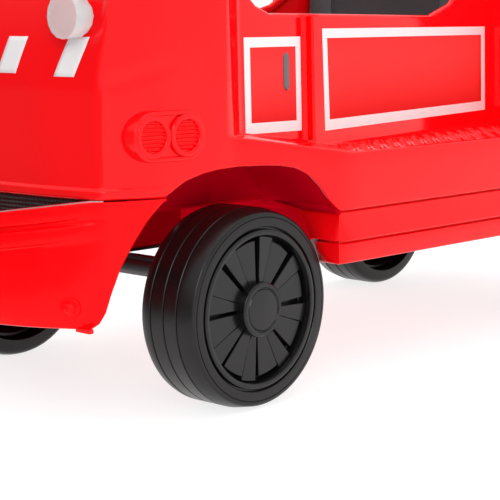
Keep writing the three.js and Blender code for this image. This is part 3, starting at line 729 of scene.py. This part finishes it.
def skirt_end(y, into):
    """Three sections that turn an end in towards the wheel. into is 1 at a front end, -1 at a rear end."""
    return [[(between(END_WALL_EDGE, z), y + into * d, z) for d, z in SKIRT_END_PROFILE],
            [(outer_x(y) - 6, y + into * d, z) for d, z in SKIRT_END_PROFILE],
            [(outer_x(y) - 1.8 - 0.5 * d, y + into * (1.2 + 0.5 * d), z) for d, z in SKIRT_END_PROFILE]]


def make_skirt(name, y0, y1, rear_end):
    """Clapboard skirt from y0 to y1, with an end wall at the front and, if asked for, one at the rear."""
    middle = [y0 + 5] + [y0 + 18 * k for k in range(1, 40) if y0 + 18 * k < y1 - 9] + [y1 - 5]
    rows = skirt_end(y0, 1) + [[(outer_x(y) - d, y, z) for d, z in SKIRT_PROFILE] for y in middle]
    if rear_end:
        rows += skirt_end(y1, -1)[::-1]
    skin = Skin().patch(rows)
    obj = shown(name, skin.mesh(name), RED)
    face_outward(obj, (245, (y0 + y1) / 2, 150), (1, 0, 0))
    mirror(obj)
    thicken(obj, WALL)


# ------------------------------------------------------------------ bumper
BUMPER_PLAN = rounded(
    [(0, -566), (60, -563), (112, -549), (160, -522), (187, -499), (198, -465), (205, -444)],
    [300, 200, 150, 30, 120], steps=6)
# Height of the top edge as (x, z).
BUMPER_TOP = [(0, 205), (82, 208), (132, 215.5), (172, 221.6), (400, 221.6)]
BUMPER_COLUMNS = 56


def along(path, s):
    """The point a share s of the way along a plan path, and the outward normal there."""
    lengths = [math.dist(a, b) for a, b in zip(path, path[1:])]
    target = s * sum(lengths)
    for (a, b), length in zip(zip(path, path[1:]), lengths):
        if target <= length or (a, b) == (path[-2], path[-1]):
            t = min(target / max(length, 1e-9), 1)
            d = (Vector(b) - Vector(a)).normalized()
            return Vector(a).lerp(Vector(b), t), Vector((d.y, -d.x))
        target -= length


def share_at_y(path, y):
    """How far along a plan path its y first reaches a value."""
    total = sum(math.dist(a, b) for a, b in zip(path, path[1:]))
    run = 0
    for a, b in zip(path, path[1:]):
        if a[1] <= y <= b[1]:
            return (run + math.dist(a, b) * (y - a[1]) / max(b[1] - a[1], 1e-9)) / total
        run += math.dist(a, b)
    return 1.0


# (drop below the top edge, how far it stands proud) across the two ribs
RIBS = [(0, 3), (0.8, 4.6), (3, 5), (12, 5), (13.8, 4.4), (14.8, 1), (15.6, 0.2), (18.6, 0.2), (19.4, 1),
        (20.4, 4.4), (22, 5), (31, 5), (33.6, 4.2), (35.2, 1), (37, 0)]
RIBS_END = RIBS[-1][0]
LOWER_ROWS = 16
BULGE = 3.2  # how far the face below the ribs bows out


def bumper_row(height_at, inset, proud):
    """Points along the bumper at a height, out to the wheel arch. The ribs run out before its end."""
    points = []
    for j in range(BUMPER_COLUMNS + 1):
        share = j / BUMPER_COLUMNS
        for _ in range(3):
            p, normal = along(BUMPER_PLAN, share)
            z = height_at(p.x)
            share = j / BUMPER_COLUMNS * share_at_y(BUMPER_PLAN, arch_y(min(z, CAB_BASE_Z - 0.1)))
        p, normal = along(BUMPER_PLAN, share)
        p = p + normal * (proud * (1 - smoothstep(128, 186, p.x)) - inset)
        points.append((max(p.x, 0), p.y, z))
    return points


def make_bumper():
    """The bumper's face: a turned-in top edge, two ribs, a bowed lower face and a turned-in foot."""
    rows = [bumper_row(lambda x: between(BUMPER_TOP, x) - 0.2, 13, 0)]
    for drop, proud in RIBS:
        rows.append(bumper_row(lambda x: between(BUMPER_TOP, x) - drop, 0, proud))
    for k in range(1, LOWER_ROWS + 1):
        t = k / LOWER_ROWS
        tuck = 0 if t < 0.9 else (t - 0.9) * 26
        rows.append(bumper_row(lambda x: lerp(between(BUMPER_TOP, x) - RIBS_END, BUMPER_Z + 1, t), tuck,
                               BULGE * math.sin(math.pi * t)))
    rows.append(bumper_row(lambda x: BUMPER_Z, 5, 0))
    rows.append(bumper_row(lambda x: BUMPER_Z + 1, 9, 0))
    skin = Skin().patch(rows)
    # The bumper's duller red is painted shade.
    obj = shown("front_bumper_skin", skin.mesh("front_bumper_skin"), SHADED_BUMPER_RED,
                replaces=["front_bumper"])
    face_outward(obj, (60, -565, 150), (0, -1, 0))
    mirror(obj)
    thicken(obj, WALL)


SCREW_Y, SCREW_Z = -524, 121.4  # middle of a bumper screw
SCREW_DROP = 0.74  # share of the way down the bumper's lower face
# (radius, how far it stands out) from the pad's edge to the top of the dome
SCREW_PROFILE = ((10.4, -1), (10, 0.5), (8.4, 1), (6.4, 1.1), (6.1, 1.3), (5.7, 3), (4.6, 4.6), (2.7, 5.6),
                 (0.9, 5.9))


def make_bumper_screws():
    """A domed screw on its round pad, low on each end of the bumper."""
    centre, normal = along(BUMPER_PLAN, share_at_y(BUMPER_PLAN, SCREW_Y))
    side = Vector((-normal.y, normal.x))
    bulge = BULGE * math.sin(math.pi * SCREW_DROP)
    rings = []
    for r, out in SCREW_PROFILE:
        plan = [(centre + side * u + normal * (bulge + out), v) for u, v in circle(r, 24)]
        rings.append([(p.x, p.y, SCREW_Z + v) for p, v in plan])
    skin = Skin().patch(rings, closed=True).cap(rings[-1])
    # The screws share the bumper's painted shade.
    obj = shown("bumper_screws", skin.mesh("bumper_screws"), SHADED_BUMPER_RED, smooth=30)
    mirror(obj)


# ------------------------------------------------------------------ wheels
DISH_X = -16  # face of the dish, behind the outer face
TYRE_GROOVES = (-20, -38, -56)  # thin grooves round the tread, from the outer face


def lathe(profile, segments, closed=True):
    """A turned skin on the X axis. profile holds (x, r), and closed joins its ends."""
    rows = [[(x, r * c, r * n) for x, r in profile] for c, n in circle(1, segments)]
    rows.append(rows[0])
    return Skin().patch(rows, closed=closed)


def placed(skin, side, y):
    """Moves a wheel's skin from the origin, where x = 0 is the outer face, to its place."""
    skin.verts = [(side * (WHEEL_OUT + x), y + dy, WHEEL_R + dz) for x, dy, dz in skin.verts]
    return skin


def tyre_profile():
    """Side wall with two rings, a grooved tread and the hollow inside."""
    tread = []
    for g in TYRE_GROOVES:
        tread += [(g + 1.3, 101.9), (g + 0.5, 101.3), (g + 0.45, 100.3), (g - 0.45, 100.3),
                  (g - 0.5, 101.3), (g - 1.3, 101.9)]
    shoulder_out = rounded([(-0.2, 84.2), (0, 92.6), (-1.3, 93.1), (-0.1, 93.8), (-0.6, 97.5), (-8, 101.7)],
                           [0.2, 0.2, 0.2, 5], steps=3)
    shoulder_in = rounded([(-62, 101.8), (-72, 99), (-73, 88)], [8], steps=5)
    inside = [(-73, 83.2), (-4.5, 83.2), (-4.5, 83.4), (-1, 83.5)]
    return shoulder_out[:-1] + tread + shoulder_in + inside


def rim_profile():
    """Barrel, outer ring and recessed dish, closed round the bore."""
    return [(DISH_X, 8), (DISH_X, 73), (-15.4, 74), (-1.4, 75), (-0.4, 75.5), (0, 76.4), (0, 79.8),
            (-0.4, 80.6), (-1.4, 81.2), (-5, 81.4), (-5, 83), (-54, 83), (-56, 80), (-56, 77), (-21, 75),
            (-20, 73), (-20, 18), (-67, 16), (-68, 15), (-68, 8)]


# A blade is a rib and a panel: (angles from the slot, outer radius, height at each of the two angles).
BLADE = ((1.6, 18.5, 73.6, -5.8, -6.6), (18.5, 42.6, 69.8, -6.9, -7.1))
SLOT_WIDTH = 60  # degrees times radius, so that the slot beside a rib keeps its width


def vanes():
    """Eight blades: each a raised rib out to the rim beside a broad panel that stops short of it."""
    skin = Skin()
    for slot in range(0, 360, 45):
        for from_angle, to_angle, outer_r, top0, top1 in BLADE:
            loops = []
            for r in (26, outer_r):
                start = from_angle + (SLOT_WIDTH / r if from_angle < 5 else 0)
                arc = [math.radians(slot - lerp(start, to_angle, k / 5)) for k in range(6)]
                tops = [(lerp(top0, top1, k / 5), r * math.cos(a), r * math.sin(a))
                        for k, a in enumerate(arc)]
                loops.append(tops + [(DISH_X + 0.1, y, z) for _, y, z in tops[::-1]])
            skin.patch(loops, closed=True).cap(loops[0]).cap(loops[1])
    return skin


def cap_profile():
    """Hub cap with a shallow ring groove."""
    return rounded([(2, 0), (2, 20.5), (0.8, 21.4), (0.9, 22.2), (2.4, 23), (2.4, 26), (1, 28), (-11, 28.4),
                    (-15.8, 28.4)], [0.3, 0.3, 0.3, 0.4, 0.8, 1, 0.3], steps=3)


def make_wheel(corner, y, side, tag):
    """Tyre, rim, blades and hub cap of one wheel, on its own body."""
    body = f"{corner}_wheel_{tag}"
    tyre = placed(lathe(tyre_profile(), 128), side, y)
    shown(f"{corner}_tyre_skin_{tag}", tyre.mesh("tyre"), TYRE, body,
          [f"{corner}_tyre_{tag}"], smooth=28)
    rim = placed(lathe(rim_profile(), 96), side, y)
    shown(f"{corner}_rim_skin_{tag}", rim.mesh("rim"), RIM, body,
          [f"{corner}_rim_{tag}"], smooth=28)
    blades = placed(vanes(), side, y).mesh("vanes", weld=0.001)
    obj = shown(f"{corner}_vanes_{tag}", blades, RIM, body, smooth=28)
    bevel(obj, 0.7, 2, 40)
    cap = placed(lathe(cap_profile(), 64, closed=False), side, y)
    shown(f"{corner}_cap_skin_{tag}", cap.mesh("cap"), RIM, body,
          [f"{corner}_hub_cap_{tag}"], smooth=28)


# ------------------------------------------------------------------ grille trim, axle and underbody
def make_grille_trim():
    """The bright lower edge of the mesh, along the top of the bumper."""
    section = ((2.4, -0.5), (2.4, 0.9), (4.2, 1.5), (6, 0.9), (6, -0.5))
    rows = []
    for k in range(49):
        p, n = along(BUMPER_PLAN, 0.93 * k / 48 * share_at_y(BUMPER_PLAN, -492))
        z = between(BUMPER_TOP, p.x)
        rows.append([(p.x - n.x * d, p.y - n.y * d, z + h) for d, h in section])
    skin = Skin().patch(rows, closed=True).cap(rows[0]).cap(rows[-1])
    obj = shown("grille_trim", skin.mesh("grille_trim"), CHROME, smooth=60)
    mirror(obj)


def block(name, box, material, edge, both=True):
    """A moulded block with rounded edges, on both sides if asked for. box is (x0, x1, y0, y1, z0, z1)."""
    x0, x1, y0, y1, z0, z1 = box
    loops = [[(x, y0, z0), (x, y1, z0), (x, y1, z1), (x, y0, z1)] for x in (x0, x1)]
    skin = Skin().patch(loops, closed=True).cap(loops[0]).cap(loops[1])
    obj = shown(name, skin.mesh(name), material, smooth=40)
    if both:
        mirror(obj)
    bevel(obj, edge, 3, 30)


def make_panels_below():
    """The apron under the rear box, a tab under each bumper end and two guards over the front axle."""
    block("rear_valance", (-222, 222, 541, 547.4, 143, 262), RED, 2, both=False)
    block("bumper_tab", (156, 176, -519, -513, 97.5, 102), RED, 1)
    # The guards' darker red is painted shade.
    block("axle_guard", (59, 73, -418, -292, 151, 199), PAINTED_SHADE_RED, 3)
    block("axle_guard_edge", (58, 74, -419, -291, 149.4, 152.6), BLACK, 0.8)


AXLE_SECTION = rounded(
    [(0, 138), (12, 138), (12, 124), (7, 118), (-7, 118), (-12, 124), (-12, 138), (0, 138)],
    [3, 4, 4, 4, 4, 3], steps=3)
KINGPIN_EYE = ((6.6, 104), (13, 104), (14, 105), (14, 128), (13, 129), (6.6, 129))  # (radius, z)
SCREW_HEAD = ((3.4, 137.5), (3.4, 139.4), (2.6, 140.2), (0.8, 140.4))  # (radius, z)


def rings_about(x, profile, count):
    """Level rings of a turned piece on an upright axis in the front axle's plane."""
    return [[(x + u, FRONT_Y + v, z) for u, v in circle(r, count)] for r, z in profile]


def make_front_axle():
    """The axle beam, with an eye for each kingpin on a short arm, and two screws on top."""
    rows = [[(x, FRONT_Y + d, z) for d, z in AXLE_SECTION[:-1]] for x in (-110, -60, 0, 60, 110)]
    skin = Skin().patch(rows, closed=True).cap(rows[0]).cap(rows[-1])
    for side in (-1, 1):
        rings = rings_about(side * KINGPIN_X, KINGPIN_EYE, 24)
        skin.patch(rings + rings[:1], closed=True)
        arm = [[(side * u, FRONT_Y + d, z) for d, z in ((-8, 106), (8, 106), (8, 127), (-8, 127))]
               for u in (100, KINGPIN_X - 8)]
        skin.patch(arm, closed=True).cap(arm[0]).cap(arm[1])
    # The beam's red tint is a painted reflection.
    shown("axle_beam_skin", skin.mesh("axle_beam_skin", weld=0.001), BEAM,
          replaces=["front_axle_beam"], smooth=40)
    rings = rings_about(45, SCREW_HEAD, 16)
    screw = Skin().patch(rings, closed=True).cap(rings[-1])
    obj = shown("beam_screw", screw.mesh("beam_screw"), ZINC)
    mirror(obj)


# ------------------------------------------------------------------ camera, lights and floor
AHEAD = (-0.55, -0.83)  # plan direction, ahead and to the right, in which the studio is dim


def make_camera():
    """A long lens 0.4 m above the ground, off the front left corner."""
    data = bpy.data.cameras.new("camera")
    data.lens = 113.95
    camera = bpy.data.objects.new("camera", data)
    camera.location = (1.2720, -1.4884, 0.3937)
    turn, dip = math.radians(42.602), math.radians(8.432)
    aim = Vector((-math.sin(turn) * math.cos(dip), math.cos(turn) * math.cos(dip), -math.sin(dip)))
    camera.rotation_euler = aim.to_track_quat("-Z", "Y").to_euler()
    bpy.context.scene.collection.objects.link(camera)
    bpy.context.scene.camera = camera


def distance_ahead(tree, output, direction):
    """How far along a direction a place or a view ray lies, as a node's output."""
    where = tree.nodes.new("ShaderNodeTexCoord")
    dot = tree.nodes.new("ShaderNodeVectorMath")
    dot.operation = "DOT_PRODUCT"
    dot.inputs[1].default_value = direction
    tree.links.new(where.outputs[output], dot.inputs[0])
    return dot.outputs["Value"]


def make_world():
    """A white studio that is dim ahead of the vehicle, to its right and below it."""
    world = bpy.data.worlds.new("studio")
    world.use_nodes = True
    tree = world.node_tree
    ramp = tree.nodes.new("ShaderNodeValToRGB")
    bright, dim = ramp.color_ramp.elements
    bright.position, bright.color = 0.35, (1, 1, 1, 1)
    dim.position, dim.color = 0.75, (0.2, 0.2, 0.2, 1)
    tree.links.new(distance_ahead(tree, "Generated", (*AHEAD, -0.9)), ramp.inputs["Fac"])
    tree.links.new(ramp.outputs["Color"], tree.nodes["Background"].inputs["Color"])
    tree.nodes["Background"].inputs["Strength"].default_value = 1.0
    bpy.context.scene.world = world


def make_lamp(name, place, target, size, power):
    """A square soft light."""
    data = bpy.data.lights.new(name, "AREA")
    data.shape = "RECTANGLE"
    data.size = data.size_y = size
    data.energy = power
    lamp = bpy.data.objects.new(name, data)
    lamp.location = place
    lamp.rotation_euler = (Vector(target) - Vector(place)).to_track_quat("-Z", "Y").to_euler()
    bpy.context.scene.collection.objects.link(lamp)


def floor_paper():
    """Pale paper with a painted glow. Glow and colour fade ahead of the vehicle and to its right: painted
    shade where the studio is dim.
    """
    paper = plastic("floor_paper", (0.34, 0.34, 0.34), 0.8, variation=0.005, bump=0.0, specular=0.05)
    tree = paper.node_tree
    shader = tree.nodes["Principled BSDF"]
    shader.inputs["Emission Color"].default_value = (1, 1, 1, 1)
    fade = tree.nodes.new("ShaderNodeMapRange")
    fade.interpolation_type = "SMOOTHSTEP"
    for socket, value in (("From Min", 0.46), ("From Max", 1.1), ("To Min", 0.8), ("To Max", 0.22)):
        fade.inputs[socket].default_value = value
    tree.links.new(distance_ahead(tree, "Object", (*AHEAD, 0)), fade.inputs["Value"])
    tree.links.new(fade.outputs["Result"], shader.inputs["Emission Strength"])
    # The paper's colour dims with its glow: painted shade.
    dimmed = tree.nodes.new("ShaderNodeMath")
    dimmed.operation = "MULTIPLY"
    dimmed.inputs[1].default_value = 0.45
    tree.links.new(fade.outputs["Result"], dimmed.inputs[0])
    grey = tree.nodes.new("ShaderNodeCombineColor")
    for channel in ("Red", "Green", "Blue"):
        tree.links.new(dimmed.outputs["Value"], grey.inputs[channel])
    tree.links.new(grey.outputs["Color"], shader.inputs["Base Color"])
    return paper


def make_floor():
    """A wide floor just below the tyres."""
    data = bpy.data.meshes.new("floor")
    bm = bmesh.new()
    bmesh.ops.create_grid(bm, x_segments=1, y_segments=1, size=14)
    bm.to_mesh(data)
    bm.free()
    floor = bpy.data.objects.new("floor", data)
    floor.location = (0, 0, -0.0005)
    bpy.context.scene.collection.objects.link(floor)
    data.materials.append(floor_paper())


def make_studio():
    """The camera, the world, two lights and the floor."""
    bpy.context.scene.view_settings.view_transform = "Standard"
    make_camera()
    make_world()
    make_lamp("key", (2.2, -2.4, 1.7), (0.1, -0.2, 0.25), 1.4, 26)
    make_lamp("top", (0.2, -0.3, 2.6), (0, 0, 0.2), 2.4, 14)
    make_floor()


# ------------------------------------------------------------------ CAD nodes that stay
KEPT = {
    RED: ["seat_box", "rear_box", "rear_hatch"],
    # The floor pan's darker red is painted shade.
    PAINTED_SHADE_RED: ["floor_pan"],
    BLACK: ["rear_bumper", "dashboard", "windscreen_frame", "mirror_left", "mirror_right", "steering_wheel",
            "accelerator_pedal", "gear_lever", "battery", "gearbox_left", "gearbox_right"],
    MESH: ["grille_mesh"],
    SEAT: ["seat"],
    STEEL: ["steering_knuckle_left", "steering_knuckle_right", "tie_rod"],
    ZINC: ["rear_axle", "steering_shaft", "motor_left", "motor_right"],
    SILVER: ["light_bar_base", "ladder_mount", "ladder", "ladder_extension"],
    CLEAR: ["windscreen_pane"],
    BLUE_LENS: ["beacon_left", "beacon_right"],
    RED_LENS: ["tail_light_left", "tail_light_right", "horn_button", "start_button"],
    CLEAR_LENS: ["headlight_left", "headlight_right"],
}


# Edge radius in mm of the CAD pieces that are shown as they are
EDGES = {
    2.5: ["rear_hatch", "dashboard", "rear_bumper", "windscreen_frame", "mirror_left", "mirror_right",
          "seat_box", "light_bar_base", "beacon_left", "beacon_right"],
    4: ["seat", "rear_box"],
    1.2: ["tail_light_left", "tail_light_right", "headlight_left", "headlight_right", "battery",
          "ladder_mount", "ladder", "ladder_extension", "gearbox_left", "gearbox_right",
          "accelerator_pedal", "start_button", "horn_button", "gear_lever"],
}
EDGE_ANGLE = 32  # an edge that turns by less stays smooth


def round_cad_edges():
    """Rounds the edges of the CAD pieces by modifiers, and shades their round faces smooth."""
    for radius, names in EDGES.items():
        for name in names:
            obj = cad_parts[name]
            weld = obj.modifiers.new("weld", "WELD")
            weld.merge_threshold = 0.01 * MM
            bevel(obj, radius, 3, EDGE_ANGLE)
            for face in obj.data.polygons:
                face.use_smooth = True
            obj.data.set_sharp_from_angle(angle=math.radians(EDGE_ANGLE))


def dress_cad_nodes():
    """Gives each CAD node that stays its material."""
    for material, names in KEPT.items():
        for name in names:
            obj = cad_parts[name]
            obj.data.materials.clear()
            obj.data.materials.append(material)


make_studio()
dress_cad_nodes()
round_cad_edges()
make_grille_trim()
make_panels_below()
make_front_axle()
make_body()
make_skirt("skirt_middle", SKIRT_FRONT_Y, REAR_Y - REAR_ARCH_HALF, True)
make_skirt("skirt_rear", REAR_Y + REAR_ARCH_HALF, BOX_REAR_Y, False)
make_bumper()
make_vent()
make_wall_step()
make_bumper_screws()
make_prints()
make_door_handle()
make_bars()
make_tread()
make_front_wells()
for corner, y in (("front", FRONT_Y), ("rear", REAR_Y)):
    for side, tag in ((1, "left"), (-1, "right")):
        make_wheel(corner, y, side, tag)
